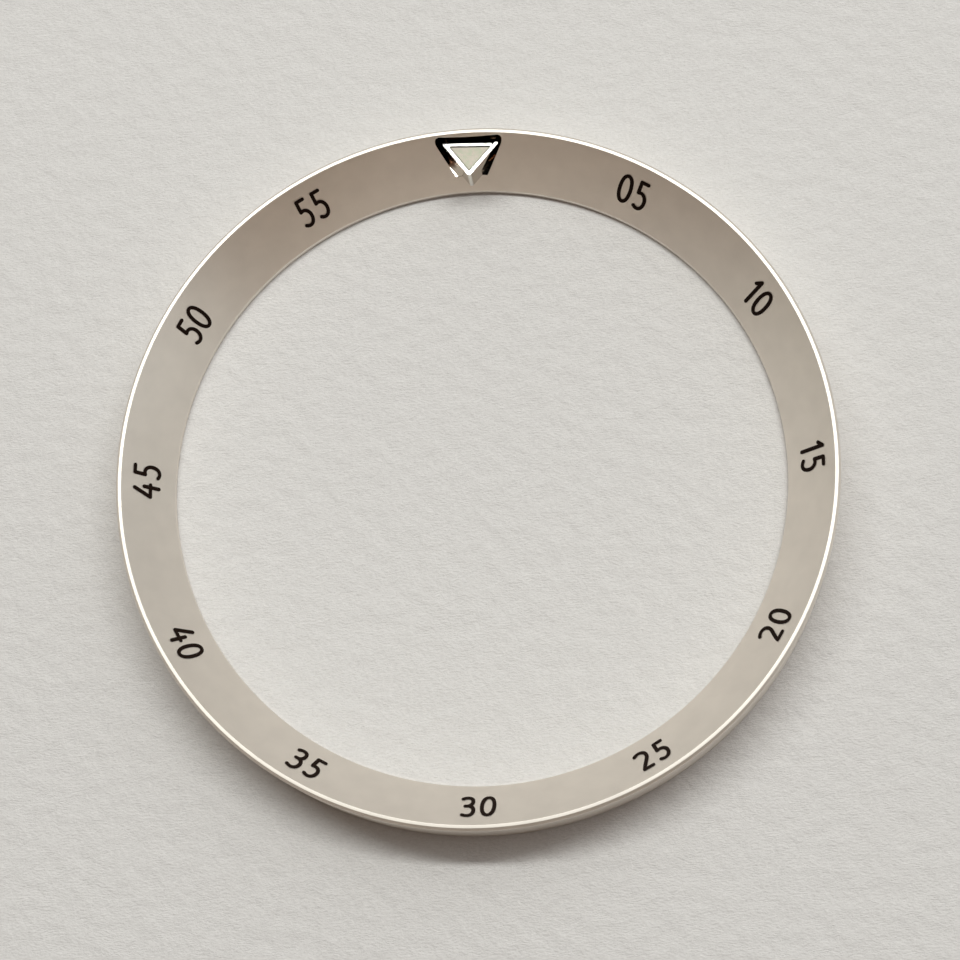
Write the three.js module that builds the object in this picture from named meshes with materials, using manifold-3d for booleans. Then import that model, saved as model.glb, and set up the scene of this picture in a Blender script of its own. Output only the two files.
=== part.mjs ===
// Chapter ring of a watch: a turned ring whose slope carries printed minute numbers and one raised marker.
// Millimetres, +Z up. The origin is the centre of the flat underside, and the marker is towards +Y.

import * as THREE from 'three';
import { mergeVertices } from 'three/addons/utils/BufferGeometryUtils.js';
import Module from 'manifold-3d';

const wasm = await Module();
wasm.setup();

// Ring: the rim is the flat land on top, and the lip is the upright wall at the bore.
// From the bore outwards come the slope, the rim and the rim's chamfer, so the outside follows from them.
const boreDiameter = 27.75;
const slopeWidth = 1.875;
const ringHeight = 2.7;
const rimWidth = 0.14;
const rimChamfer = 0.11;
const lipHeight = 0.25;
const lipChamfer = 0.05;
const baseChamfer = 0.1;
const ringSides = 240;

// Marker: a triangle with its back to the rim, sharp at the back corners and rounded at the nose
const markerWidth = 2.7;
const markerPointLength = 1.7;
const noseRadius = 0.13;
const markerDrop = 0.5;
const markerChamfer = 0.045;
const cornerEase = 0.015;
const markerTurn = THREE.MathUtils.degToRad(2.3);
const sideBarWidth = 0.155;
const backBarWidth = 0.185;
const lumeWellDepth = 0.45;
const lumeRecess = 0.05;
const lumeFit = 0.01;
const footDiameter = 0.5;
const footSpacing = 1;
const footDepthShare = 0.6;

// Pocket: cut straight down into the slope, with a level floor that runs out where the slope meets it.
// Its middle lies pocketShift to the right of the marker's.
const pocketDepth = 1.76;
const pocketInset = 0.15;
const pocketSideGap = 0.222;
const pocketBackGap = 0.1;
const pocketShift = -0.035;
const pocketCornerRadius = 0.16;

// Print: digits of one even stroke with round ends, set along the middle of the slope
const digitWidth = 0.7;
const digitHeight = 1.53;
const strokeWidth = 0.17;
const numeralDrop = 1.435;
const inkThickness = 0.02;

// Fits and counts
const seatGap = 0.01;
const cutOverrun = 0.5;
const arcSteps = 4;
const strokeSteps = 8;
const footSides = 16;
const minutesPerTurn = 60;
const minutesPerNumeral = 5;
const firstInvertedMinute = 20;
const lastInvertedMinute = 40;

// Sizes that follow
const boreRadius = boreDiameter / 2;
const rimInnerRadius = boreRadius + slopeWidth;
const rimOuterRadius = rimInnerRadius + rimWidth;
const outerRadius = rimOuterRadius + rimChamfer;
const slopeAngle = Math.atan2(ringHeight - lipHeight, slopeWidth);
const floorHeight = ringHeight - pocketDepth;
const markerTop = ringHeight - markerDrop;
const markerBase = floorHeight + seatGap;
const markerHeight = markerTop - markerBase;
const pocketBack = rimInnerRadius - pocketInset;
const markerBack = pocketBack - pocketBackGap;
const markerHalfAngle = Math.atan2(markerWidth / 2, markerPointLength);
const markerCentre = markerBack - markerPointLength / 3;
const backCornerRadius = markerChamfer + cornerEase;
const footDepth = floorHeight * footDepthShare;

// Materials
const satinSteel = new THREE.MeshStandardMaterial({ color: 0xb4ada0, roughness: 0.38, metalness: 1 });
const polishedSteel = new THREE.MeshStandardMaterial({ color: 0xe6e3dc, roughness: 0.08, metalness: 1 });
const luminousPaint = new THREE.MeshStandardMaterial({ color: 0xcdcdb9, roughness: 0.85, metalness: 0 });
const blackInk = new THREE.MeshStandardMaterial({ color: 0x0c0a09, roughness: 0.35, metalness: 0 });

// Solids: a closed three.js geometry becomes a solid that can be joined and cut, and comes back
function toSolid(geometry) {
  const bare = geometry.clone();
  bare.deleteAttribute('normal');
  bare.deleteAttribute('uv');
  const merged = mergeVertices(bare);
  const mesh = new wasm.Mesh({
    numProp: 3,
    vertProperties: new Float32Array(merged.attributes.position.array),
    triVerts: new Uint32Array(merged.index.array),
  });
  return new wasm.Manifold(mesh);
}

function toGeometry(solid) {
  const { vertProperties, triVerts } = solid.getMesh();
  const geometry = new THREE.BufferGeometry();
  geometry.setAttribute('position', new THREE.BufferAttribute(vertProperties, 3));
  geometry.setIndex(new THREE.BufferAttribute(triVerts, 1));
  return geometry;
}

function joined(geometries) {
  return geometries.map(toSolid).reduce((whole, next) => whole.add(next));
}

// Outlines: a polygon whose corners are rounded, its points given counter-clockwise
function roundedOutline(corners, radii) {
  const outline = new THREE.Shape();
  corners.forEach((corner, index) => {
    const before = corners[(index + corners.length - 1) % corners.length].clone().sub(corner).normalize();
    const after = corners[(index + 1) % corners.length].clone().sub(corner).normalize();
    const halfAngle = Math.acos(before.dot(after)) / 2;
    const inward = before.clone().add(after).normalize();
    const centre = corner.clone().addScaledVector(inward, radii[index] / Math.sin(halfAngle));
    const start = Math.atan2(-before.x, before.y);
    const end = Math.atan2(after.x, -after.y);
    outline.absarc(centre.x, centre.y, radii[index], start + Math.PI, end + Math.PI, false);
  });
  return outline;
}

// A triangle with its back edge level and its point towards -Y, in the marker's own place
function triangle(back, halfWidth, length) {
  return [
    new THREE.Vector2(halfWidth, back),
    new THREE.Vector2(-halfWidth, back),
    new THREE.Vector2(0, back - length),
  ];
}

// The marker's triangle with its sides moved out by sideGrowth and its back by backGrowth
function grownMarkerTriangle(sideGrowth, backGrowth) {
  const back = markerBack + backGrowth;
  const length = markerPointLength + backGrowth + sideGrowth / Math.sin(markerHalfAngle);
  return triangle(back, length * Math.tan(markerHalfAngle), length);
}

function prism(outline, bottom, top) {
  const geometry = new THREE.ExtrudeGeometry(outline, {
    depth: top - bottom,
    bevelEnabled: false,
    curveSegments: arcSteps,
  });
  return geometry.translate(0, 0, bottom);
}

function chamferedPrism(outline, bottom, top, chamfer) {
  const geometry = new THREE.ExtrudeGeometry(outline, {
    depth: top - bottom - 2 * chamfer,
    bevelEnabled: true,
    bevelThickness: chamfer,
    bevelSize: chamfer,
    bevelOffset: -chamfer,
    bevelSegments: 1,
    curveSegments: arcSteps,
  });
  return geometry.translate(0, 0, bottom + chamfer);
}

// Upright pins side by side under the marker's back half, used for its feet and for their holes
function feet(diameter, bottom, top) {
  const height = top - bottom;
  return [-1, 1].map((side) => {
    const pin = new THREE.CylinderGeometry(diameter / 2, diameter / 2, height, footSides);
    pin.rotateX(Math.PI / 2);
    return pin.translate((side * footSpacing) / 2, markerCentre, bottom + height / 2);
  });
}

// The marker stands a little turned in its pocket, about its own middle, as it was set
function turnedMarker(geometry) {
  geometry.translate(0, -markerCentre, 0);
  geometry.rotateZ(-markerTurn);
  return geometry.translate(0, markerCentre, 0);
}

// Ring body: the section is turned about the axis, then the pocket and the feet's holes are cut
function ringSection() {
  return [
    [boreRadius + lipChamfer, 0],
    [outerRadius - baseChamfer, 0],
    [outerRadius, baseChamfer],
    [outerRadius, ringHeight - rimChamfer],
    [rimOuterRadius, ringHeight],
    [rimInnerRadius, ringHeight],
    [boreRadius, lipHeight],
    [boreRadius, lipChamfer],
    [boreRadius + lipChamfer, 0],
  ].map(([radius, height]) => new THREE.Vector2(radius, height));
}

function ringBody() {
  const turned = new THREE.LatheGeometry(ringSection(), ringSides);
  turned.rotateX(Math.PI / 2);
  const radii = [pocketCornerRadius, pocketCornerRadius, pocketCornerRadius];
  const pocketOutline = roundedOutline(grownMarkerTriangle(pocketSideGap, pocketBackGap), radii);
  const pocket = prism(pocketOutline, floorHeight, ringHeight + cutOverrun);
  pocket.translate(pocketShift, 0, 0);
  const holeDiameter = footDiameter + 2 * seatGap;
  const holes = feet(holeDiameter, floorHeight - footDepth - seatGap, floorHeight + cutOverrun);
  const cutter = joined([pocket, ...holes.map(turnedMarker)]);
  return toGeometry(toSolid(turned).subtract(cutter));
}

// Marker frame: a chamfered triangular block with a well for the lume and two feet in the pocket's floor
function frameOutline() {
  return roundedOutline(grownMarkerTriangle(0, 0), [backCornerRadius, backCornerRadius, noseRadius]);
}

// The well's outline, drawn in by a fit for what goes into it
function wellOutline(fit) {
  const corners = grownMarkerTriangle(-sideBarWidth - fit, -backBarWidth - fit);
  return roundedOutline(corners, [backCornerRadius, backCornerRadius, backCornerRadius]);
}

function markerFrame() {
  const block = chamferedPrism(frameOutline(), markerBase, markerTop, markerChamfer);
  const pins = feet(footDiameter, floorHeight - footDepth, markerBase + markerHeight / 2);
  const well = prism(wellOutline(0), markerTop - lumeWellDepth, markerTop + cutOverrun);
  const solid = joined([block, ...pins]).subtract(toSolid(well));
  return turnedMarker(toGeometry(solid));
}

function markerLume() {
  const outline = wellOutline(lumeFit);
  const bottom = markerTop - lumeWellDepth + lumeFit;
  return turnedMarker(prism(outline, bottom, markerTop - lumeRecess));
}

// Digits: the centre lines of the strokes, as shares of the box that a wide digit's centre lines fill.
// A line holds its two ends. A curve holds its start, then two handles and an end for each bend.
const digitShares = {
  0: {
    width: 1,
    left: 0.05,
    right: 0.024,
    loop: [[0.5, 1], [0.195, 1, 0, 0.805, 0, 0.5], [0, 0.195, 0.195, 0, 0.5, 0],
      [0.805, 0, 1, 0.195, 1, 0.5], [1, 0.805, 0.805, 1, 0.5, 1]],
  },
  1: {
    width: 0.36,
    left: 0.066,
    right: 0.092,
    lines: [[0, 0.8, 1, 1], [1, 1, 1, 0]],
  },
  2: {
    width: 0.93,
    left: 0.053,
    right: 0.079,
    lines: [[0.16, 0, 1, 0]],
    curves: [[[0, 0.92], [0.34, 1.06, 0.98, 1.03, 1, 0.75], [1.02, 0.54, 0.6, 0.42, 0.16, 0]]],
  },
  3: {
    width: 0.95,
    left: 0.04,
    right: 0.066,
    lines: [[0.28, 0.535, 0.45, 0.535]],
    curves: [
      [[0.03, 0.94], [0.4, 1.06, 0.9, 1.01, 0.9, 0.79], [0.9, 0.63, 0.7, 0.55, 0.45, 0.535]],
      [[0.45, 0.535], [0.88, 0.53, 1, 0.4, 1, 0.27], [1, -0.02, 0.46, -0.07, 0.09, 0.03]],
    ],
  },
  4: {
    width: 1.06,
    left: 0.034,
    right: 0.056,
    lines: [[0.56, 1, 0, 0.35], [0, 0.35, 1, 0.35], [0.79, 0.61, 0.79, 0]],
  },
  5: {
    width: 0.86,
    left: 0.08,
    right: 0.044,
    lines: [[0.92, 1, 0.17, 1], [0.17, 1, 0.14, 0.58]],
    curves: [[[0.14, 0.58], [0.62, 0.66, 1, 0.5, 1, 0.31], [1, 0.02, 0.46, -0.09, 0, 0.05]]],
  },
};

const centreLineWidth = digitWidth - strokeWidth;
const centreLineHeight = digitHeight - strokeWidth;

// Numbers that alternate across and up become points of the digit's box, whose middle height is zero
function digitPoints(numbers, shares) {
  const points = [];
  for (let index = 0; index < numbers.length; index += 2) {
    const across = numbers[index] * shares.width * centreLineWidth;
    points.push(new THREE.Vector2(across, (numbers[index + 1] - 0.5) * centreLineHeight));
  }
  return points;
}

function curvedRoute([start, ...bends], shares) {
  const route = digitPoints(start, shares);
  bends.forEach((bend) => {
    const from = route[route.length - 1];
    const curve = new THREE.CubicBezierCurve(from, ...digitPoints(bend, shares));
    route.push(...curve.getPoints(strokeSteps).slice(1));
  });
  return route;
}

// Points beside a route, half a stroke to its left, or to its right where side is -1
function beside(route, side, closed) {
  const last = route.length - 1;
  return route.map((point, index) => {
    const before = closed && index === 0 ? route[last - 1] : route[Math.max(index - 1, 0)];
    const after = closed && index === last ? route[1] : route[Math.min(index + 1, last)];
    const heading = after.clone().sub(before).normalize();
    const sideways = new THREE.Vector2(-heading.y, heading.x);
    return sideways.multiplyScalar((side * strokeWidth) / 2).add(point);
  });
}

// A stroke of even width along a route, with half-round ends
function strokeOutline(route) {
  const outline = new THREE.Shape();
  const [first] = route;
  const last = route[route.length - 1];
  const startHeading = Math.atan2(route[1].y - first.y, route[1].x - first.x);
  const beforeLast = route[route.length - 2];
  const endHeading = Math.atan2(last.y - beforeLast.y, last.x - beforeLast.x);
  const half = strokeWidth / 2;
  const quarter = Math.PI / 2;
  outline.absarc(first.x, first.y, half, startHeading + quarter, startHeading - quarter, false);
  beside(route, -1).slice(1, -1).forEach((point) => outline.lineTo(point.x, point.y));
  outline.absarc(last.x, last.y, half, endHeading - quarter, endHeading + quarter, false);
  beside(route, 1).slice(1, -1).reverse().forEach((point) => outline.lineTo(point.x, point.y));
  return outline;
}

// A closed stroke of even width: its route starts and ends at one point and runs counter-clockwise
function loopOutline(route) {
  const outline = new THREE.Shape(beside(route, -1, true).slice(1));
  outline.holes.push(new THREE.Path(beside(route, 1, true).slice(1)));
  return outline;
}

function digitOutlines(shares) {
  const { lines = [], curves = [], loop } = shares;
  const straight = lines.map((line) => strokeOutline(digitPoints(line, shares)));
  const bent = curves.map((curve) => strokeOutline(curvedRoute(curve, shares)));
  const closed = loop ? [loopOutline(curvedRoute(loop, shares))] : [];
  return [...straight, ...bent, ...closed];
}

// Rolls flat print onto the slope without stretching it: X runs clockwise, Y up the slope, Z off it
function rolledOnSlope(geometry, turn) {
  const middleRadius = rimInnerRadius - numeralDrop * Math.cos(slopeAngle);
  const middleHeight = ringHeight - numeralDrop * Math.sin(slopeAngle);
  const unrolledRadius = middleRadius / Math.cos(slopeAngle);
  const position = geometry.attributes.position;
  const point = new THREE.Vector3();
  for (let index = 0; index < position.count; index += 1) {
    point.fromBufferAttribute(position, index);
    const reach = Math.hypot(unrolledRadius + point.y, point.x);
    const angle = turn + Math.atan2(point.x, unrolledRadius + point.y) / Math.cos(slopeAngle);
    const upSlope = reach - unrolledRadius;
    const radius = reach * Math.cos(slopeAngle) - point.z * Math.sin(slopeAngle);
    const height = middleHeight + upSlope * Math.sin(slopeAngle) + point.z * Math.cos(slopeAngle);
    position.setXYZ(index, radius * Math.sin(angle), radius * Math.cos(angle), height);
  }
  return geometry;
}

function printedDigit(digit, leftEdge, minute) {
  const shares = digitShares[digit];
  const strokes = digitOutlines(shares).map((outline) => prism(outline, 0, inkThickness));
  const geometry = toGeometry(joined(strokes));
  geometry.translate(leftEdge + strokeWidth / 2, 0, seatGap);
  if (minute >= firstInvertedMinute && minute <= lastInvertedMinute) {
    geometry.rotateZ(Math.PI);
  }
  return rolledOnSlope(geometry, (minute / minutesPerTurn) * 2 * Math.PI);
}

const inkedWidth = (digit) => digitShares[digit].width * centreLineWidth + strokeWidth;

// The two digits of one numeral, with the blanks that each brings to its sides, centred on their minute
function numeral(minute) {
  const [tens, units] = String(minute).padStart(2, '0');
  const blank = (digitShares[tens].right + digitShares[units].left) * digitHeight;
  const pairWidth = inkedWidth(tens) + blank + inkedWidth(units);
  return {
    tens: printedDigit(tens, -pairWidth / 2, minute),
    units: printedDigit(units, pairWidth / 2 - inkedWidth(units), minute),
  };
}

// The whole ring
const chapterRing = new THREE.Group();

function place(name, geometry, material) {
  const mesh = new THREE.Mesh(geometry, material);
  mesh.name = name;
  chapterRing.add(mesh);
}

place('ring_body', ringBody(), satinSteel);
place('marker_frame', markerFrame(), polishedSteel);
place('marker_lume', markerLume(), luminousPaint);
for (let minute = minutesPerNumeral; minute < minutesPerTurn; minute += minutesPerNumeral) {
  const digits = numeral(minute);
  const label = String(minute).padStart(2, '0');
  place(`numeral_${label}_tens`, digits.tens, blackInk);
  place(`numeral_${label}_units`, digits.units, blackInk);
}

export default chapterRing;
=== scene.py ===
"""The look of a watch's chapter ring: turned steel, a polished marker with its lume, and printed numbers.

The ring lies on its flat underside with +Z up and its marker towards +Y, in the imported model's own frame.
"""

import math
from types import SimpleNamespace

import bmesh
import bpy
from mathutils import Matrix, Vector, noise


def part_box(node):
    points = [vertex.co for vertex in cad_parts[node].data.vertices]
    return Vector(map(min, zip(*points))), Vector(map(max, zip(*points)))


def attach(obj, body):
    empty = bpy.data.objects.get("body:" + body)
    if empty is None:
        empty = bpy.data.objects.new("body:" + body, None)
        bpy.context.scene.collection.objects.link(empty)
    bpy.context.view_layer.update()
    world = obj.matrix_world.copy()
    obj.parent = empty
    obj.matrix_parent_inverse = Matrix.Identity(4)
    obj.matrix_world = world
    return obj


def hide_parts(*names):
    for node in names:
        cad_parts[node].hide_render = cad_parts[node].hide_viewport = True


bl_info = {
    "name": "Watch Chapter Ring",
    "version": (1, 0, 0),
    "blender": (4, 5, 0),
    "location": "3D View > Sidebar > Chapter Ring",
    "description": "Makes a turned chapter ring with its marker, its lume and its printed numbers",
    "category": "Add Mesh",
}

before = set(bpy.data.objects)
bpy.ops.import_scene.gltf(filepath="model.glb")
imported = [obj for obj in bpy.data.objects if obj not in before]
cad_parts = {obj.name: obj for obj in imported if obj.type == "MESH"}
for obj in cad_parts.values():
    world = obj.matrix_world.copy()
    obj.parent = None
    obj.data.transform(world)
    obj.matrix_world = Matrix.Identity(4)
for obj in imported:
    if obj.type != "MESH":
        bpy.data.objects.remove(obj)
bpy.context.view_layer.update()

_, ring_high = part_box("ring_body")

MM = 0.001
CLOCKWISE = -1
TWELVE = Vector((0, 1, 0))
THREE = Vector((1, 0, 0))
UP = Vector((0, 0, 1))

# Angles between faces, and how far up a normal points
SHARP_EDGE = math.radians(28)
MARKER_EDGE = math.radians(25)
UPRIGHT = 0.3
LEVEL = 0.99999

# Fineness of the meshes
RING_STEPS = 720
TURNED_EDGE_SEGMENTS = 3
POCKET_CORNER_SEGMENTS = 12
MARKER_CORNER_SEGMENTS = 10
WELL_CORNER_SEGMENTS = 8
EDGE_SEGMENTS = 2
PIN_SEGMENTS = 32
LUME_COLUMNS, LUME_ROWS = 110, 75

# Millimetres
SAME_SPOT = 1e-5
ON_CIRCLE = 1e-3
ON_SLOPE = 2e-3
CLEAR = 1
SENSOR_WIDTH = 36


def length(name, millimetres, description):
    return bpy.props.FloatProperty(
        name=name, description=description, default=millimetres * MM, min=0, unit="LENGTH", precision=6
    )


def turn(name, degrees, description):
    return bpy.props.FloatProperty(
        name=name, description=description, default=math.radians(degrees), unit="ROTATION"
    )


def share(name, value, description):
    return bpy.props.FloatProperty(
        name=name, description=description, default=value, min=0, max=1, subtype="FACTOR"
    )


def strength(name, value, description):
    return bpy.props.FloatProperty(name=name, description=description, default=value, min=0)


def colour(name, value, description):
    return bpy.props.FloatVectorProperty(
        name=name, description=description, default=value, size=3, min=0, max=1, subtype="COLOR"
    )


class RingSizes(bpy.types.PropertyGroup):
    """The turned ring, from its bore outwards, and the pocket cut for its marker."""

    outer_radius: length("Outer radius", ring_high.x / MM, "Radius of the upright outer wall")
    height: length("Height", ring_high.z / MM, "From the underside to the rim")
    rim_chamfer: length("Rim chamfer", 0.11, "Bevel between the rim and the outer wall")
    rim_width: length("Rim width", 0.14, "Width of the flat land on top")
    slope_width: length("Slope width", 1.875, "From the rim's inner edge to the bore, seen from above")
    lip_height: length("Lip height", 0.25, "Height of the upright lip at the bore")
    base_chamfer: length("Base chamfer", 0.1, "Bevel at the foot of the outer wall")
    lip_chamfer: length("Lip chamfer", 0.05, "Bevel at the foot of the lip")
    rim_round: length("Rim rounding", 0.012, "Rounding of the rim's two edges")
    lip_round: length("Lip rounding", 0.035, "Rounding of the lip's upper edge")
    base_round: length("Base rounding", 0.02, "Rounding of the lower edges")
    pocket_depth: length("Pocket depth", 1.76, "From the rim down to the pocket's level floor")
    pocket_inset: length("Pocket inset", 0.12, "From the rim's inner edge to the pocket's back wall")
    pocket_side_gap: length("Pocket side gap", 0.214, "Gap beside the marker")
    pocket_back_gap: length("Pocket back gap", 0.13, "Gap behind the marker")
    pocket_corner: length("Pocket corner", 0.2, "Radius that the cutter leaves in the pocket's corners")
    pocket_round: length("Pocket rounding", 0.012, "Rounding of the pocket's edges")
    pocket_shift: length("Pocket shift", 0.035, "How far the pocket lies to the left of the marker")
    pocket_dip: length("Pocket dip", 0.0057, "How much deeper the cutter ran along the pocket's walls")
    pocket_dip_reach: length("Pocket dip reach", 0.105, "Width of that deeper edge")


class MarkerSizes(bpy.types.PropertyGroup):
    """The triangular marker that stands in the pocket."""

    width: length("Width", 2.7, "Width of the triangle's back, to its sharp corners")
    point_length: length("Point length", 1.7, "From the back to the sharp point")
    nose_radius: length("Nose radius", 0.13, "Rounding of the point, seen from above")
    ear_radius: length("Ear radius", 0.06, "Rounding of the back corners, seen from above")
    drop: length("Drop", 0.5, "How far the marker's top lies below the rim")
    back_bevel: length("Back bevel", 0.055, "Bevel along the marker's back edge, between its ears")
    back_bevel_length: length("Back bevel length", 2.1, "How far the bevel runs along the back")
    ear_notch: length("Ear notch", 0.11, "How far the notch that sets each ear off cuts into the back")
    ear_notch_depth: length("Ear notch depth", 0.4, "How far down that notch is cut")
    edge_round: length("Edge rounding", 0.012, "Softness of the marker's edges")
    side_bar: length("Side bar width", 0.155, "Width of the frame beside the lume")
    back_bar: length("Back bar width", 0.185, "Width of the frame behind the lume")
    well_depth: length("Well depth", 0.45, "Depth of the well that holds the lume")
    lume_recess: length("Lume recess", 0.05, "How far the lume lies below the marker's top")
    lume_fit: length("Lume fit", 0.01, "Gap between the lume and its well")
    lume_sink: length("Lume sink", 0.05, "How far the dried lume sinks along its edge")
    lume_sink_reach: length("Lume sink reach", 0.08, "Width of the sunk edge")
    # The lume's darker edge is painted shade, standing for the shade in the crevice along the well's sides.
    lume_edge_shade_width: length("Lume edge width", 0.075, "Width of the lume's darker edge")
    foot_radius: length("Foot radius", 0.25, "Radius of the two feet under the marker")
    foot_spacing: length("Foot spacing", 1.0, "Distance between the feet")
    foot_depth: length("Foot depth", 0.56, "How far the feet reach into the pocket's floor")
    seat_gap: length("Seat gap", 0.01, "Gap under the marker and round its feet")
    set_turn: turn("Turn", 2.3, "How far the marker is set askew, clockwise")


class Finishes(bpy.types.PropertyGroup):
    """Colours and roughness of the ring's surfaces."""

    steel: colour("Steel", (0.832, 0.777, 0.708), "The ring's steel")
    rim_tone: share("Rim tone", 0.93, "How much of the steel's brightness the rim has")
    bright_steel: colour("Bright steel", (0.6, 0.575, 0.54), "The marker's polished steel")
    slope_roughness: share("Slope roughness", 0.35, "Satin turned slope")
    rim_roughness: share("Rim roughness", 0.46, "Bright cut rim")
    wall_roughness: share("Wall roughness", 0.4, "Turned outer wall")
    pocket_roughness: share("Pocket roughness", 0.05, "Milled pocket")
    pocket_steel: colour("Pocket steel", (0.86, 0.79, 0.71), "The pocket's steel at its open end")
    # Painted shade: the pocket's back is painted darker, standing for the shade deep in the narrow pocket.
    pocket_painted_shade: colour("Pocket soot", (0.18, 0.105, 0.065), "The pocket's back, where darkness has stayed in it")
    shade_start: share("Soot start", 0.46, "How far across the slope from the bore the soot begins")
    shade_full: share("Soot full", 0.62, "How far across the slope the soot is at its darkest")
    marker_roughness: share("Marker roughness", 0.12, "Polished marker")
    marker_side: colour("Marker sides", (0.46, 0.41, 0.36), "Steel of the marker's upright sides")
    # The nose's bright tone is a painted highlight, standing for the reflection on the rounded nose.
    nose_painted_highlight: colour("Marker nose", (0.9, 0.87, 0.8), "Steel of the marker's rounded nose, painted bright")
    nose_bright: share("Bright nose", 0.25, "How much of the nose's radius is brightest, from its front")
    nose_faded: share("Faded nose", 0.45, "How far along its radius that brightness has faded out")
    side_roughness: share("Side roughness", 0.05, "Polished upright sides of the marker")
    lume: colour("Lume", (0.67, 0.645, 0.545), "Pale luminous paint")
    # Painted shade along the lume's edge.
    lume_edge_shade: share("Lume edge", 0.45, "How dark the lume's edge is, against its middle")
    ink: colour("Ink", (0.012, 0.006, 0.004), "Black print")


class StageSizes(bpy.types.PropertyGroup):
    """The camera, the floor and the light."""

    camera_distance: length("Camera distance", 85.368, "From the camera to the point that it looks at")
    camera_rise: turn("Camera rise", 73.92, "Angle of the view above the floor")
    camera_side: turn("Camera side", 19.661, "How far the camera stands to the right of 6 o'clock")
    camera_roll: turn("Camera roll", 21.076, "Turn of the camera about its own view")
    lens: length("Lens", 73.117, "Focal length on a 36 mm sensor")
    aim_right: length("Aim right", 0.352, "The point looked at, to the right of the ring's axis")
    aim_down: length("Aim down", 0.82, "The point looked at, towards 6 o'clock from the ring's axis")
    floor_size: length("Floor size", 1200, "Side of the square floor")
    floor_paint: colour("Floor colour", (0.728, 0.706, 0.684), "Pale floor")
    key_distance: length("Key distance", 400, "From the ring to the lamp")
    key_lean: turn("Key lean", 22.7, "Lean of the lamp from straight above, towards 12")
    key_side: turn("Key side", 1.0, "Turn of the lamp's lean towards 1 o'clock")
    key_width: length("Key width", 580, "Side of the lamp across the picture")
    key_height: length("Key height", 34, "Side of the lamp up the picture")
    key_radiance: strength("Key radiance", 18.5, "Brightness of the lamp's face")
    key_tone: colour("Key colour", (0.97, 1.0, 0.985), "Tint of the lamp")
    glow_side: turn("Glow side", 33, "Turn of the room's bright side towards 1 o'clock")
    glow_rise: turn("Glow rise", 50, "Height of the room's bright side")
    glow_reach: turn("Glow reach", 45, "How far the glow fades out round its middle")
    glow: strength("Glow", 1.15, "Brightness of the room's bright side")
    dim_side: colour("Dim side", (0.225, 0.165, 0.125), "The room towards 6, as shiny surfaces show it")
    left_side: colour("Left side", (0.53, 0.5, 0.43), "The room on the left")
    right_side: colour("Right side", (0.68, 0.68, 0.66), "The room on the right")
    dim_middle: turn("Middle of the dim side", 7, "Turn of the dim side past 6 o'clock")
    dim_reach: turn("Reach of the dim side", 55, "From the middle of the dim side to where it turns pale")
    dim_edge: turn("Edge of the dim side", 30, "Width of the dim side's soft edge")
    overhead_reach: turn("Overhead reach", 24, "Reach of the dark camera that shiny surfaces show")
    overhead_edge: turn("Overhead edge", 3, "Softness of the dark camera's outline")
    dim_light: colour("Dim light", (0.06, 0.025, 0.015), "Light that the dim side casts")
    side_fill: share("Side fill", 0.4, "How much of their shown brightness the other sides cast as light")


def millimetres(sizes):
    """A group's sizes in millimetres: pieces are modelled at that scale and shrunk to metres at the end."""
    return SimpleNamespace(**{name: getattr(sizes, name) / MM for name in sizes.__annotations__})


# Meshes

def new_piece(name, mesh_in_mm):
    """A piece from a bmesh in millimetres."""
    mesh = bpy.data.meshes.new(name)
    mesh_in_mm.to_mesh(mesh)
    mesh_in_mm.free()
    piece = bpy.data.objects.new(name, mesh)
    bpy.context.scene.collection.objects.link(piece)
    return piece


def settle(piece):
    """Turns the piece's modifiers into its mesh."""
    graph = bpy.context.evaluated_depsgraph_get()
    settled = bpy.data.meshes.new_from_object(piece.evaluated_get(graph), depsgraph=graph)
    piece.modifiers.clear()
    rough = piece.data
    piece.data = settled
    bpy.data.meshes.remove(rough)


def combine(piece, tool, operation):
    """Cuts the piece with the tool, or keeps only what both hold, and removes the tool."""
    modifier = piece.modifiers.new("Cut", "BOOLEAN")
    modifier.operation = operation
    modifier.solver = "MANIFOLD"
    modifier.object = tool
    settle(piece)
    bpy.data.objects.remove(tool)


def soften(piece, rounding, segments, limit):
    """Rounds every edge sharper than the limit."""
    modifier = piece.modifiers.new("Round", "BEVEL")
    modifier.width = rounding
    modifier.segments = segments
    modifier.limit_method = "ANGLE"
    modifier.angle_limit = limit
    modifier.use_clamp_overlap = True
    settle(piece)


def finish_piece(piece, node, materials):
    """Gives a piece its normals, its true size and its materials, and puts it in the place of its node."""
    for polygon in piece.data.polygons:
        polygon.use_smooth = polygon.normal.z < LEVEL
    piece.data.set_sharp_from_angle(angle=SHARP_EDGE)
    modifier = piece.modifiers.new("Even normals", "WEIGHTED_NORMAL")
    modifier.keep_sharp = True
    settle(piece)
    piece.data.transform(Matrix.Scale(MM, 4))
    piece.data.materials.clear()
    for material in materials:
        piece.data.materials.append(material)
    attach(piece, "root")
    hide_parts(node)


def section_ring(corners, steps):
    """A ring spun from the corners of its section, each a radius and a height."""
    bm = bmesh.new()
    verts = [bm.verts.new((0, radius, height)) for radius, height in corners]
    edges = [bm.edges.new((a, b)) for a, b in zip(verts, verts[1:] + verts[:1])]
    bmesh.ops.spin(
        bm, geom=verts + edges, axis=(0, 0, 1), cent=(0, 0, 0), angle=2 * math.pi, steps=steps, use_merge=True
    )
    bmesh.ops.remove_doubles(bm, verts=bm.verts[:], dist=SAME_SPOT)
    bmesh.ops.recalc_face_normals(bm, faces=bm.faces[:])
    return bm


def round_turned_edges(bm, radius, height, rounding):
    """Rounds the edges of a spun ring that run at one radius and height."""
    def on_circle(vert):
        return abs(vert.co.xy.length - radius) < ON_CIRCLE and abs(vert.co.z - height) < ON_CIRCLE

    edges = [edge for edge in bm.edges if all(on_circle(vert) for vert in edge.verts)]
    bmesh.ops.bevel(
        bm, geom=edges, offset=rounding, segments=TURNED_EDGE_SEGMENTS, profile=0.5, affect="EDGES",
        material=-1,
    )


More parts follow.
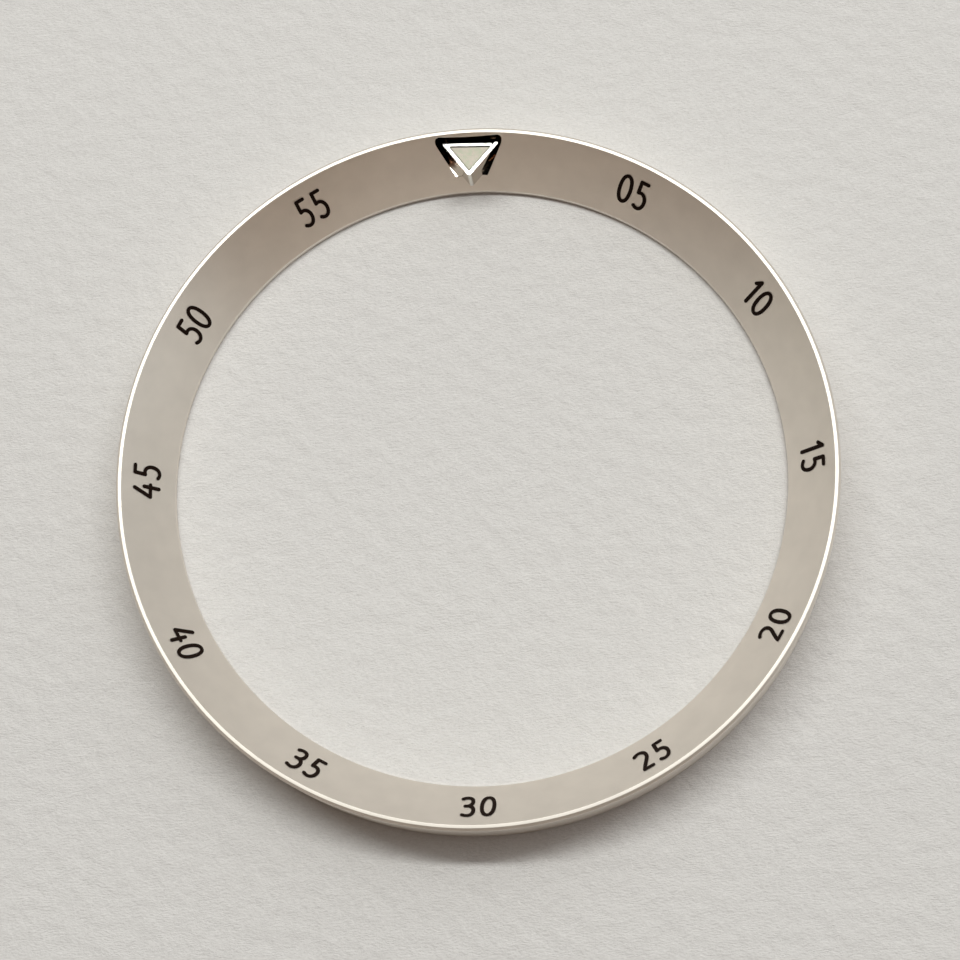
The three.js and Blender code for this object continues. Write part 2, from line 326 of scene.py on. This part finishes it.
def triangle_prism(back, half_width, point_length, radii, bottom, top, segments):
    """An upright prism on a triangle that points towards the ring's axis, its corners rounded."""
    corners = [(half_width, back), (-half_width, back), (0, back - point_length)]
    half_angle = math.atan2(half_width, point_length)
    corner_halves = [(math.pi / 2 - half_angle) / 2] * 2 + [half_angle]
    bm = bmesh.new()
    verts = [bm.verts.new((x, y, bottom)) for x, y in corners]
    bm.faces.new(verts)
    for vert, radius, half in zip(verts, radii, corner_halves):
        bmesh.ops.bevel(
            bm, geom=[vert], offset=radius / math.tan(half), segments=segments, profile=0.5,
            affect="VERTICES", material=-1,
        )
    walls = bmesh.ops.extrude_face_region(bm, geom=bm.faces[:])
    risen = [item for item in walls["geom"] if isinstance(item, bmesh.types.BMVert)]
    bmesh.ops.translate(bm, vec=(0, 0, top - bottom), verts=risen)
    bmesh.ops.recalc_face_normals(bm, faces=bm.faces[:])
    return bm


# Where things stand, in millimetres

def layout():
    """The heights and outlines that the ring and its marker share."""
    scene = bpy.context.scene
    ring = millimetres(scene.chapter_ring_sizes)
    marker = millimetres(scene.chapter_ring_marker)
    rim_outer = ring.outer_radius - ring.rim_chamfer
    rim_inner = rim_outer - ring.rim_width
    pocket_back = rim_inner - ring.pocket_inset
    back = pocket_back - ring.pocket_back_gap
    floor = ring.height - ring.pocket_depth
    return SimpleNamespace(
        rim_outer=rim_outer,
        rim_inner=rim_inner,
        bore=rim_inner - ring.slope_width,
        floor=floor,
        back=back,
        centre=back - marker.point_length / 3,
        half_angle=math.atan2(marker.width / 2, marker.point_length),
        base=floor + marker.seat_gap,
        top=ring.height - marker.drop,
    )


def grown_triangle(place, marker, side_growth, back_growth):
    """The marker's triangle moved out at its sides and its back: back, half width and length."""
    point_length = marker.point_length + back_growth + side_growth / math.sin(place.half_angle)
    return place.back + back_growth, point_length * math.tan(place.half_angle), point_length


def set_askew(bm, place, angle):
    """Turns what belongs to the marker about its own middle, as it was set."""
    bmesh.ops.rotate(
        bm, cent=(0, place.centre, 0), matrix=Matrix.Rotation(CLOCKWISE * angle, 3, "Z"), verts=bm.verts[:]
    )


def foot_pins(place, marker, radius, bottom, top):
    """Two upright pins under the marker's back half."""
    bm = bmesh.new()
    for side in (-1, 1):
        made = bmesh.ops.create_cone(
            bm, cap_ends=True, segments=PIN_SEGMENTS, radius1=radius, radius2=radius, depth=top - bottom
        )
        spot = (side * marker.foot_spacing / 2, place.centre, (top + bottom) / 2)
        bmesh.ops.translate(bm, vec=spot, verts=made["verts"])
    return bm


# Materials

class Nodes:
    """A node tree that is filled one node at a time."""

    def __init__(self, owner):
        owner.use_nodes = True
        self.tree = owner.node_tree
        self.tree.nodes.clear()

    def add(self, kind, inputs=None, **settings):
        node = self.tree.nodes.new(kind)
        for name, value in settings.items():
            setattr(node, name, value)
        for name, value in (inputs or {}).items():
            self.give(node.inputs[name], value)
        return node

    def give(self, socket, value):
        if isinstance(value, bpy.types.NodeSocket):
            self.link(value, socket)
        else:
            socket.default_value = value

    def link(self, source, target):
        self.tree.links.new(source, target)

    def math(self, operation, first, second=0.0, third=0.0):
        node = self.add("ShaderNodeMath", operation=operation)
        for socket, value in zip(node.inputs, (first, second, third)):
            self.give(socket, value)
        return node.outputs[0]

    def along(self, vector, direction):
        """How far a vector reaches along a fixed direction."""
        node = self.add("ShaderNodeVectorMath", {0: vector, 1: direction}, operation="DOT_PRODUCT")
        return node.outputs["Value"]

    def mix(self, factor, first, second):
        node = self.add("ShaderNodeMix", data_type="RGBA")
        self.give(node.inputs["Factor"], factor)
        colours = [socket for socket in node.inputs if socket.type == "RGBA"]
        for socket, value in zip(colours, (first, second)):
            self.give(socket, value if isinstance(value, bpy.types.NodeSocket) else (*value, 1))
        return next(socket for socket in node.outputs if socket.type == "RGBA")

    def span(self, value, start, end, low, high, shape="LINEAR"):
        """A number that runs from low to high as the value runs from start to end."""
        limits = {"Value": value, "From Min": start, "From Max": end, "To Min": low, "To Max": high}
        return self.add("ShaderNodeMapRange", limits, interpolation_type=shape).outputs[0]


class Shader(Nodes):
    """A material with one Principled shader."""

    def __init__(self, name):
        self.material = bpy.data.materials.new(name)
        super().__init__(self.material)
        self.surface = self.add("ShaderNodeBsdfPrincipled")
        output = self.add("ShaderNodeOutputMaterial")
        self.link(self.surface.outputs["BSDF"], output.inputs["Surface"])

    def set(self, **inputs):
        for name, value in inputs.items():
            self.give(self.surface.inputs[name.replace("_", " ")], value)

    def place(self):
        """The point on the object in millimetres."""
        where = self.add("ShaderNodeTexCoord").outputs["Object"]
        scaled = self.add("ShaderNodeVectorMath", {0: where}, operation="SCALE")
        scaled.inputs["Scale"].default_value = 1 / MM
        return scaled.outputs[0]

    def radius(self, where):
        """Distance from the ring's axis."""
        flat = self.add("ShaderNodeVectorMath", {0: where, 1: (1, 1, 0)}, operation="MULTIPLY").outputs[0]
        return self.add("ShaderNodeVectorMath", {0: flat}, operation="LENGTH").outputs["Value"]

    def noise(self, where, scale, detail=2.0, roughness=0.5):
        node = self.add("ShaderNodeTexNoise", {"Vector": where, "Scale": scale, "Detail": detail})
        node.inputs["Roughness"].default_value = roughness
        return node.outputs["Fac"]

    def lines(self, where, scale, detail=3.0):
        """Noise along one number."""
        inputs = {"W": where, "Scale": scale, "Detail": detail}
        return self.add("ShaderNodeTexNoise", inputs, noise_dimensions="1D").outputs["Fac"]

    def between(self, pattern, low, high):
        """A number that runs from low to high over the range that a noise mostly keeps to."""
        usual_low, usual_high = 0.3, 0.7
        return self.span(pattern, usual_low, usual_high, low, high)

    def bump(self, height, depth):
        """Normals of a relief whose height of 1 stands for a depth in millimetres."""
        node = self.add("ShaderNodeBump", {"Height": height, "Distance": depth * MM})
        self.link(node.outputs["Normal"], self.surface.inputs["Normal"])


def shade(tone, by):
    return tuple(part * by for part in tone)


def turned_steel(name, tone, roughness, groove_scale, groove_depth):
    """Steel off the lathe: fine circular grooves, with slow changes of gloss and tone."""
    shader = Shader(name)
    where = shader.place()
    apart = shader.add("ShaderNodeSeparateXYZ", {0: where}).outputs
    across = shader.math("ADD", shader.radius(where), apart["Z"])
    grooves = shader.lines(across, groove_scale)
    blotches = shader.noise(where, 0.9, detail=3.0)
    grain = shader.noise(where, 28.0, detail=2.0)
    groove_share = 0.75
    mixed = shader.math(
        "ADD",
        shader.math("MULTIPLY", grooves, groove_share),
        shader.math("MULTIPLY", grain, 1 - groove_share),
    )
    shader.set(
        Base_Color=shader.mix(shader.between(blotches, 0, 1), shade(tone, 0.97), shade(tone, 1.03)),
        Metallic=1.0,
        Roughness=shader.between(mixed, roughness * 0.95, roughness * 1.05),
    )
    shader.bump(mixed, groove_depth)
    return shader.material


def milled_steel(name, unshaded_tone, shaded_tone, unshaded_radius, fully_shaded_radius, roughness):
    """The pocket's steel: straight cutter marks, with painted shade that darkens it from its open end to its
    back.
    """
    shader = Shader(name)
    where = shader.place()
    # Painted shade: the colour darkens with distance from the bore, towards the pocket's back.
    painted_shade = shader.span(shader.radius(where), unshaded_radius, fully_shaded_radius, 0, 1, shape="SMOOTHSTEP")
    tone = shader.mix(painted_shade, unshaded_tone, shaded_tone)
    stretched = shader.add("ShaderNodeMapping", {"Vector": where, "Scale": (3.0, 26.0, 3.0)}).outputs[0]
    marks = shader.noise(stretched, 1.0, detail=3.0)
    shader.set(
        Base_Color=tone,
        Metallic=1.0,
        Roughness=shader.between(marks, roughness - 0.02, roughness + 0.03),
    )
    shader.bump(marks, depth=0.0001)
    return shader.material


def polished_steel(name, tone, roughness):
    """The marker's steel: a mirror with the faintest haze."""
    shader = Shader(name)
    haze = shader.noise(shader.place(), 9.0, detail=4.0)
    shader.set(
        Base_Color=shader.mix(shader.between(haze, 0, 1), shade(tone, 0.99), shade(tone, 1.01)),
        Metallic=1.0,
        Roughness=shader.between(haze, roughness - 0.02, roughness + 0.03),
    )
    shader.bump(haze, depth=0.0004)
    return shader.material


def polished_sides(name, side, nose, nose_front, nose_back, roughness):
    """The marker's upright steel: a duller mirror, with a painted highlight round its nose."""
    shader = Shader(name)
    where = shader.place()
    apart = shader.add("ShaderNodeSeparateXYZ", {0: where}).outputs
    haze = shader.noise(where, 9.0, detail=4.0)
    # Painted highlight: the colour brightens towards the front of the nose.
    shader.set(
        Base_Color=shader.mix(shader.span(apart["Y"], nose_front, nose_back, 0, 1), nose, side),
        Metallic=1.0,
        Roughness=shader.between(haze, roughness - 0.02, roughness + 0.02),
    )
    return shader.material


def luminous_paint(name, tone, sides, edge_shade_tone, edge_shade_width):
    """Pale lume: a coarse powder in clear binder, mottled warm and green, with painted shade along its sides.
    """
    shader = Shader(name)
    where = shader.place()
    inside = [shader.math("ADD", shader.along(where, inward), offset) for inward, offset in sides]
    from_edge = shader.math("MINIMUM", shader.math("MINIMUM", inside[0], inside[1]), inside[2])
    # Painted shade: the colour darkens within a narrow band along each side of the well.
    edge = shader.span(from_edge, 0, edge_shade_width, edge_shade_tone, 1, shape="SMOOTHSTEP")
    clouds = shader.noise(where, 4.5, detail=4.0, roughness=0.65)
    grains = shader.noise(where, 38.0, detail=2.0)
    warm = (tone[0] * 1.13, tone[1] * 1.01, tone[2] * 1.05)
    green = (tone[0] * 0.87, tone[1] * 0.98, tone[2] * 0.85)
    mottled = shader.mix(shader.between(clouds, 0, 1), warm, green)
    edge_shaded = shader.add("ShaderNodeVectorMath", {0: mottled}, operation="SCALE")
    shader.link(edge, edge_shaded.inputs["Scale"])
    shader.set(
        Base_Color=edge_shaded.outputs[0],
        Roughness=shader.between(grains, 0.6, 0.85),
        Specular_IOR_Level=0.35,
    )
    shader.bump(grains, depth=0.012)
    return shader.material


def printed_ink(name, tone):
    """Black pad-printing ink with a slight gloss and a slightly uneven skin."""
    shader = Shader(name)
    where = shader.place()
    skin = shader.noise(where, 14.0, detail=3.0)
    shader.set(
        Base_Color=shader.mix(shader.between(skin, 0, 1), shade(tone, 0.8), shade(tone, 1.3)),
        Roughness=shader.between(skin, 0.4, 0.55),
        Specular_IOR_Level=0.03,
    )
    shader.bump(skin, depth=0.002)
    return shader.material


def pale_floor(name, tone):
    """Plain pale paper with fine fibres that lie across the picture, and faint wrinkles."""
    shader = Shader(name)
    where = shader.place()
    fibres = shader.add("ShaderNodeMapping", {"Vector": where, "Scale": (0.6, 1.3, 1.0)}).outputs[0]
    tooth = shader.noise(fibres, 9.0, detail=3.0, roughness=0.7)
    wrinkles = shader.noise(where, 1.1, detail=2.0)
    tooth_share = 0.3
    relief = shader.math(
        "ADD", shader.math("MULTIPLY", tooth, tooth_share), shader.math("MULTIPLY", wrinkles, 1 - tooth_share)
    )
    shader.set(
        Base_Color=shader.mix(shader.between(tooth, 0, 1), shade(tone, 0.94), shade(tone, 1.06)),
        Roughness=0.9,
        Specular_IOR_Level=0.2,
    )
    shader.bump(relief, depth=0.16)
    return shader.material


# Operators, one for each piece

class MakeRingBody(bpy.types.Operator):
    """Spin the ring's section, round its edges and cut the marker's pocket"""

    bl_idname = "chapter_ring.make_ring_body"
    bl_label = "Turned Ring"

    def execute(self, context):
        ring = millimetres(context.scene.chapter_ring_sizes)
        marker = millimetres(context.scene.chapter_ring_marker)
        finish = context.scene.chapter_ring_finishes
        place = layout()
        bm = section_ring(
            [
                (place.bore + ring.lip_chamfer, 0),
                (ring.outer_radius - ring.base_chamfer, 0),
                (ring.outer_radius, ring.base_chamfer),
                (ring.outer_radius, ring.height - ring.rim_chamfer),
                (place.rim_outer, ring.height),
                (place.rim_inner, ring.height),
                (place.bore, ring.lip_height),
                (place.bore, ring.lip_chamfer),
            ],
            steps=RING_STEPS,
        )
        round_turned_edges(bm, place.rim_inner, ring.height, ring.rim_round)
        round_turned_edges(bm, place.rim_outer, ring.height, ring.rim_round)
        round_turned_edges(bm, ring.outer_radius, ring.height - ring.rim_chamfer, ring.rim_round)
        round_turned_edges(bm, place.bore, ring.lip_height, ring.lip_round)
        round_turned_edges(bm, ring.outer_radius, ring.base_chamfer, ring.base_round)
        piece = new_piece("turned_ring", bm)
        self.cut_pocket(piece, ring, marker, place)
        self.assign_zones(piece, ring, place)
        materials = [
            turned_steel(
                "Turned slope", finish.steel, finish.slope_roughness, groove_scale=22.0, groove_depth=0.0002
            ),
            turned_steel(
                "Bright cut rim", shade(finish.steel, finish.rim_tone), finish.rim_roughness,
                groove_scale=30.0, groove_depth=0.0006,
            ),
            turned_steel(
                "Turned wall", finish.steel, finish.wall_roughness, groove_scale=9.0, groove_depth=0.004
            ),
            milled_steel(
                "Milled pocket", finish.pocket_steel, finish.pocket_painted_shade,
                place.bore + ring.slope_width * finish.shade_start,
                place.bore + ring.slope_width * finish.shade_full,
                finish.pocket_roughness,
            ),
        ]
        zones = [polygon.material_index for polygon in piece.data.polygons]
        finish_piece(piece, "ring_body", materials)
        piece.data.polygons.foreach_set("material_index", zones)
        return {"FINISHED"}

    def cut_pocket(self, piece, ring, marker, place):
        """Cuts the pocket straight down, a little deeper along its walls, and the two holes for the feet."""
        back, half_width, point_length = grown_triangle(
            place, marker, ring.pocket_side_gap, ring.pocket_back_gap
        )
        pocket = triangle_prism(
            back, half_width, point_length, [ring.pocket_corner] * 3,
            place.floor - ring.pocket_dip, ring.height + CLEAR, POCKET_CORNER_SEGMENTS,
        )
        bottom = [face for face in pocket.faces if face.normal.z < -UPRIGHT]
        bmesh.ops.inset_region(pocket, faces=bottom, thickness=ring.pocket_dip_reach, depth=-ring.pocket_dip)
        bmesh.ops.translate(pocket, vec=(-ring.pocket_shift, 0, 0), verts=pocket.verts[:])
        combine(piece, new_piece("pocket_cutter", pocket), "DIFFERENCE")
        bottom = place.floor - marker.foot_depth - marker.seat_gap
        holes = foot_pins(place, marker, marker.foot_radius + marker.seat_gap, bottom, place.top)
        set_askew(holes, place, bpy.context.scene.chapter_ring_marker.set_turn)
        combine(piece, new_piece("hole_cutter", holes), "DIFFERENCE")
        self.round_pocket_edges(piece, ring, place)

    def round_pocket_edges(self, piece, ring, place):
        """Rounds the sharp edges that the pocket's walls and floor make with the slope."""
        steepness = (ring.height - ring.lip_height) / ring.slope_width

        def on_slope(vert):
            return abs((vert.co.xy.length - place.bore) * steepness + ring.lip_height - vert.co.z) < ON_SLOPE

        bm = bmesh.new()
        bm.from_mesh(piece.data)
        edges = [
            edge for edge in bm.edges
            if edge.is_manifold and edge.calc_face_angle() > SHARP_EDGE
            and all(on_slope(vert) for vert in edge.verts)
        ]
        bmesh.ops.bevel(
            bm, geom=edges, offset=ring.pocket_round, segments=EDGE_SEGMENTS, profile=0.5, affect="EDGES",
            material=-1,
        )
        bm.to_mesh(piece.data)
        bm.free()

    def assign_zones(self, piece, ring, place):
        """Tells the slope, the rim, the wall and the pocket apart by where each face lies and looks."""
        slope, rim, wall, pocket = range(4)
        slope_angle = math.atan2(ring.height - ring.lip_height, ring.slope_width)
        for polygon in piece.data.polygons:
            radius = polygon.center.xy.length
            height = polygon.center.z
            outward = polygon.normal.xy.dot(polygon.center.xy.normalized())
            on_slope = place.bore + (height - ring.lip_height) / math.tan(slope_angle)
            if height > ring.height - ring.rim_chamfer and radius > place.rim_inner - ring.rim_round:
                polygon.material_index = rim
            elif outward > 0.5 and radius > place.rim_outer or polygon.normal.z < -0.5:
                polygon.material_index = wall
            elif radius > on_slope + ring.pocket_round / 2 and height > ring.lip_height:
                polygon.material_index = pocket
            else:
                polygon.material_index = slope


class MakeMarkerFrame(bpy.types.Operator):
    """Make the polished triangular frame with its back bevel, its ear notches, its well and its feet"""

    bl_idname = "chapter_ring.make_marker_frame"
    bl_label = "Marker Frame"

    def execute(self, context):
        marker = millimetres(context.scene.chapter_ring_marker)
        askew = context.scene.chapter_ring_marker.set_turn
        finish = context.scene.chapter_ring_finishes
        place = layout()
        radii = [marker.ear_radius, marker.ear_radius, marker.nose_radius]
        outline = grown_triangle(place, marker, 0, 0)
        bm = triangle_prism(*outline, radii, place.base, place.top, MARKER_CORNER_SEGMENTS)
        set_askew(bm, place, askew)
        piece = new_piece("triangular_marker", bm)
        for cutter in self.back_cutters(marker, place):
            set_askew(cutter, place, askew)
            combine(piece, new_piece("back_cutter", cutter), "DIFFERENCE")
        feet = foot_pins(
            place, marker, marker.foot_radius, place.floor - marker.foot_depth, (place.base + place.top) / 2
        )
        set_askew(feet, place, askew)
        combine(piece, new_piece("marker_feet", feet), "UNION")
        well_outline = grown_triangle(place, marker, -marker.side_bar, -marker.back_bar)
        well = triangle_prism(
            *well_outline, [marker.ear_radius] * 3,
            place.top - marker.well_depth, place.top + CLEAR, WELL_CORNER_SEGMENTS,
        )
        set_askew(well, place, askew)
        combine(piece, new_piece("well_cutter", well), "DIFFERENCE")
        soften(piece, marker.edge_round, EDGE_SEGMENTS, MARKER_EDGE)
        sharp_point = place.back - marker.point_length
        nose_front = sharp_point + marker.nose_radius * (1 / math.sin(place.half_angle) - 1)
        materials = [
            polished_steel("Polished marker", finish.bright_steel, finish.marker_roughness),
            polished_sides(
                "Marker sides", finish.marker_side, finish.nose_painted_highlight,
                nose_front + marker.nose_radius * finish.nose_bright,
                nose_front + marker.nose_radius * finish.nose_faded, finish.side_roughness,
            ),
        ]
        finish_piece(piece, "marker_frame", materials)
        for polygon in piece.data.polygons:
            polygon.material_index = 1 if polygon.normal.z < UPRIGHT else 0
        return {"FINISHED"}

    def back_cutters(self, marker, place):
        """A bar that cuts the bevel along the back edge, and a V-shaped notch for each of its ends."""
        bar = bmesh.new()
        bmesh.ops.create_cube(bar, size=1)
        side = 4 * marker.back_bevel
        clear = side / math.sqrt(8) - marker.back_bevel / 2
        bmesh.ops.scale(bar, vec=(marker.back_bevel_length, side, side), verts=bar.verts[:])
        bmesh.ops.rotate(bar, cent=(0, 0, 0), matrix=Matrix.Rotation(math.pi / 4, 3, "X"), verts=bar.verts[:])
        bmesh.ops.translate(bar, vec=(0, place.back + clear, place.top + clear), verts=bar.verts[:])
        yield bar
        for end in (-1, 1):
            notch = bmesh.new()
            side = marker.ear_notch * math.sqrt(2)
            bmesh.ops.create_cube(notch, size=1)
            bmesh.ops.scale(notch, vec=(side, side, 2 * marker.ear_notch_depth), verts=notch.verts[:])
            eighth_turn = Matrix.Rotation(math.pi / 4, 3, "Z")
            bmesh.ops.rotate(notch, cent=(0, 0, 0), matrix=eighth_turn, verts=notch.verts[:])
            spot = (end * marker.back_bevel_length / 2, place.back, place.top)
            bmesh.ops.translate(notch, vec=spot, verts=notch.verts[:])
            yield notch


class MakeMarkerLume(bpy.types.Operator):
    """Fill the marker's well with uneven luminous paint"""

    bl_idname = "chapter_ring.make_marker_lume"
    bl_label = "Marker Lume"

    def execute(self, context):
        marker = millimetres(context.scene.chapter_ring_marker)
        finish = context.scene.chapter_ring_finishes
        place = layout()
        back, half_width, point_length = grown_triangle(
            place, marker, -marker.side_bar - marker.lume_fit, -marker.back_bar - marker.lume_fit
        )
        bottom = place.top - marker.well_depth + marker.lume_fit
        surface = place.top - marker.lume_recess
        bm = bmesh.new()
        bmesh.ops.create_grid(bm, x_segments=LUME_COLUMNS, y_segments=LUME_ROWS, size=1)
        margin = 1.1
        bmesh.ops.scale(bm, vec=(half_width * margin, point_length / 2 * margin, 1), verts=bm.verts[:])
        bmesh.ops.translate(bm, vec=(0, back - point_length / 2, 0), verts=bm.verts[:])
        for vert in bm.verts:
            edge = self.from_edge(vert.co, back, point_length, place.half_angle)
            sunk = marker.lume_sink * max(0, 1 - edge / marker.lume_sink_reach) ** 2
            vert.co.z = surface - sunk + self.unevenness(vert.co)
        skirt = bmesh.ops.extrude_face_region(bm, geom=bm.faces[:])
        for item in skirt["geom"]:
            if isinstance(item, bmesh.types.BMVert):
                item.co.z = bottom - marker.lume_recess
        bmesh.ops.recalc_face_normals(bm, faces=bm.faces[:])
        piece = new_piece("lume_filling", bm)
        outline = triangle_prism(
            back, half_width, point_length, [marker.ear_radius] * 3, bottom, place.top, WELL_CORNER_SEGMENTS
        )
        combine(piece, new_piece("lume_outline", outline), "INTERSECT")
        turned = Matrix.Translation((0, place.centre, 0)) @ Matrix.Rotation(
            CLOCKWISE * context.scene.chapter_ring_marker.set_turn, 4, "Z"
        ) @ Matrix.Translation((0, -place.centre, 0))
        piece.data.transform(turned)
        corners = [turned @ Vector(corner) for corner in (
            (half_width, back, 0), (0, back - point_length, 0), (-half_width, back, 0),
        )]
        paint = luminous_paint(
            "Luminous paint", finish.lume, self.inward_sides(corners),
            finish.lume_edge_shade, marker.lume_edge_shade_width,
        )
        finish_piece(piece, "marker_lume", [paint])
        return {"FINISHED"}

    def inward_sides(self, corners):
        """For each side of the triangle, its inward normal and what to add to a spot's reach along it."""
        for start, end in zip(corners, corners[1:] + corners[:1]):
            inward = (end - start).cross(UP).normalized()
            yield tuple(inward), -inward.dot(start)

    def from_edge(self, spot, back, point_length, half_angle):
        """How far a spot on the lume lies from the nearest side of its triangle."""
        from_side = (spot.y - back + point_length) * math.sin(half_angle) - abs(spot.x) * math.cos(half_angle)
        return max(0, min(back - spot.y, from_side))

    def unevenness(self, spot):
        """Slow swell and fine grain of the dried paint, in millimetres."""
        swell_scale, swell_height = 2, 0.008
        grain_scale, grain_height, grain_slice = 14, 0.003, 5
        swell = noise.noise(Vector((spot.x * swell_scale, spot.y * swell_scale, 0)))
        grain = noise.noise(Vector((spot.x * grain_scale, spot.y * grain_scale, grain_slice)))
        return swell_height * swell + grain_height * grain


class DressNumbers(bpy.types.Operator):
    """Give every printed digit its ink"""

    bl_idname = "chapter_ring.dress_numbers"
    bl_label = "Printed Numbers"

    def execute(self, context):
        ink = printed_ink("Black print", context.scene.chapter_ring_finishes.ink)
        digits = [node for name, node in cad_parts.items() if name.startswith("numeral_")]
        for digit in digits:
            digit.data.materials.clear()
            digit.data.materials.append(ink)
        return {"FINISHED"}


class SetStage(bpy.types.Operator):
    """Lay the floor, hang the lamp and stand the camera where the photograph was taken"""

    bl_idname = "chapter_ring.set_stage"
    bl_label = "Stage"

    def execute(self, context):
        stage = context.scene.chapter_ring_stage
        self.lay_floor(stage)
        self.hang_lamp(stage)
        self.light_room(context.scene, stage)
        self.stand_camera(context.scene, stage)
        context.scene.view_settings.view_transform = "Standard"
        return {"FINISHED"}

    def lay_floor(self, stage):
        bm = bmesh.new()
        bmesh.ops.create_grid(bm, x_segments=1, y_segments=1, size=stage.floor_size / 2)
        mesh = bpy.data.meshes.new("floor")
        bm.to_mesh(mesh)
        bm.free()
        mesh.materials.append(pale_floor("Pale floor", stage.floor_paint))
        floor = bpy.data.objects.new("floor", mesh)
        bpy.context.scene.collection.objects.link(floor)

    def hang_lamp(self, stage):
        lamp = bpy.data.lights.new("key_lamp", "AREA")
        lamp.shape = "RECTANGLE"
        lamp.size = stage.key_width
        lamp.size_y = stage.key_height
        lamp.energy = stage.key_radiance * math.pi * lamp.size * lamp.size_y
        lamp.color = stage.key_tone
        hung = bpy.data.objects.new("key_lamp", lamp)
        lean = Matrix.Rotation(-stage.key_side, 4, "Z") @ Matrix.Rotation(-stage.key_lean, 4, "X")
        hung.matrix_world = lean @ Matrix.Translation((0, 0, stage.key_distance))
        bpy.context.scene.collection.objects.link(hung)

    def light_room(self, scene, stage):
        """A room white to the camera and dim as light, that shows shiny surfaces a dark camera overhead."""
        world = bpy.data.worlds.new("room")
        room = Nodes(world)
        white = (1, 1, 1)
        towards = room.add("ShaderNodeTexCoord").outputs["Generated"]
        risen = Matrix.Rotation(stage.glow_rise, 3, "X") @ TWELVE
        brightest = Matrix.Rotation(-stage.glow_side, 3, "Z") @ risen
        glow = room.span(room.along(towards, brightest), math.cos(stage.glow_reach), 1, 0, stage.glow)
        dimmest = Matrix.Rotation(-stage.dim_middle, 3, "Z") @ -TWELVE
        dim = room.span(
            room.along(towards, dimmest),
            math.cos(stage.dim_reach + stage.dim_edge), math.cos(stage.dim_reach), 0, 1, shape="SMOOTHSTEP",
        )
        rightness = room.span(room.along(towards, THREE), -1, 1, 0, 1)
        sides = room.mix(rightness, stage.left_side, stage.right_side)
        overhead = room.span(
            room.along(towards, self.lens_direction(stage)),
            math.cos(stage.overhead_reach + stage.overhead_edge), math.cos(stage.overhead_reach),
            1, 0, shape="SMOOTHSTEP",
        )
        shown = room.add("ShaderNodeVectorMath", {0: room.mix(dim, sides, stage.dim_side)}, operation="SCALE")
        room.link(overhead, shown.inputs["Scale"])
        fill = room.add("ShaderNodeVectorMath", {0: sides}, operation="SCALE")
        fill.inputs["Scale"].default_value = stage.side_fill
        cast = room.mix(dim, fill.outputs[0], stage.dim_light)
        light = room.add("ShaderNodeVectorMath", {0: glow, 1: cast}, operation="ADD").outputs[0]
        path = room.add("ShaderNodeLightPath").outputs
        shiny = room.math("MAXIMUM", path["Is Glossy Ray"], path["Is Transmission Ray"])
        seen = room.mix(path["Is Camera Ray"], room.mix(shiny, light, shown.outputs[0]), white)
        background = room.add("ShaderNodeBackground", {"Color": seen})
        output = room.add("ShaderNodeOutputWorld")
        room.link(background.outputs[0], output.inputs["Surface"])
        scene.world = world

    def lens_direction(self, stage):
        """Where the camera stands, as a direction from the ring."""
        lean = Matrix.Rotation(math.pi / 2 - stage.camera_rise, 3, "X")
        turned = Matrix.Rotation(stage.camera_side, 3, "Z") @ lean
        return turned @ UP

    def stand_camera(self, scene, stage):
        data = bpy.data.cameras.new("camera")
        data.lens = stage.lens / MM
        data.sensor_width = SENSOR_WIDTH
        nearest_share, floors_away = 1 / 50, 2
        data.clip_start = stage.camera_distance * nearest_share
        data.clip_end = stage.floor_size * floors_away
        camera = bpy.data.objects.new("camera", data)
        aim = Vector((stage.aim_right, -stage.aim_down, ring_high.z))
        stand = (
            Matrix.Translation(aim)
            @ Matrix.Rotation(stage.camera_side, 4, "Z")
            @ Matrix.Rotation(math.pi / 2 - stage.camera_rise, 4, "X")
            @ Matrix.Rotation(CLOCKWISE * stage.camera_roll, 4, "Z")
            @ Matrix.Translation((0, 0, stage.camera_distance))
        )
        camera.matrix_world = stand
        scene.collection.objects.link(camera)
        scene.camera = camera


class ChapterRingPanel(bpy.types.Panel):
    """Sizes, finishes and buttons for the chapter ring"""

    bl_idname = "VIEW3D_PT_chapter_ring"
    bl_label = "Chapter Ring"
    bl_space_type = "VIEW_3D"
    bl_region_type = "UI"
    bl_category = "Chapter Ring"

    def draw(self, context):
        for operator in operators:
            self.layout.operator(operator.bl_idname)
        for title, group in groups.items():
            box = self.layout.box()
            box.label(text=title)
            values = getattr(context.scene, group["name"])
            for name in values.__annotations__:
                box.prop(values, name)


groups = {
    "Ring": {"name": "chapter_ring_sizes", "type": RingSizes},
    "Marker": {"name": "chapter_ring_marker", "type": MarkerSizes},
    "Finishes": {"name": "chapter_ring_finishes", "type": Finishes},
    "Stage": {"name": "chapter_ring_stage", "type": StageSizes},
}
operators = (MakeRingBody, MakeMarkerFrame, MakeMarkerLume, DressNumbers, SetStage)


def register():
    for group in groups.values():
        bpy.utils.register_class(group["type"])
        setattr(bpy.types.Scene, group["name"], bpy.props.PointerProperty(type=group["type"]))
    for operator in operators:
        bpy.utils.register_class(operator)
    bpy.utils.register_class(ChapterRingPanel)


def unregister():
    bpy.utils.unregister_class(ChapterRingPanel)
    for operator in reversed(operators):
        bpy.utils.unregister_class(operator)
    for group in groups.values():
        delattr(bpy.types.Scene, group["name"])
        bpy.utils.unregister_class(group["type"])


def main():
    register()
    bpy.ops.chapter_ring.make_ring_body()
    bpy.ops.chapter_ring.make_marker_frame()
    bpy.ops.chapter_ring.make_marker_lume()
    bpy.ops.chapter_ring.dress_numbers()
    bpy.ops.chapter_ring.set_stage()


if __name__ == "__main__":
    main()
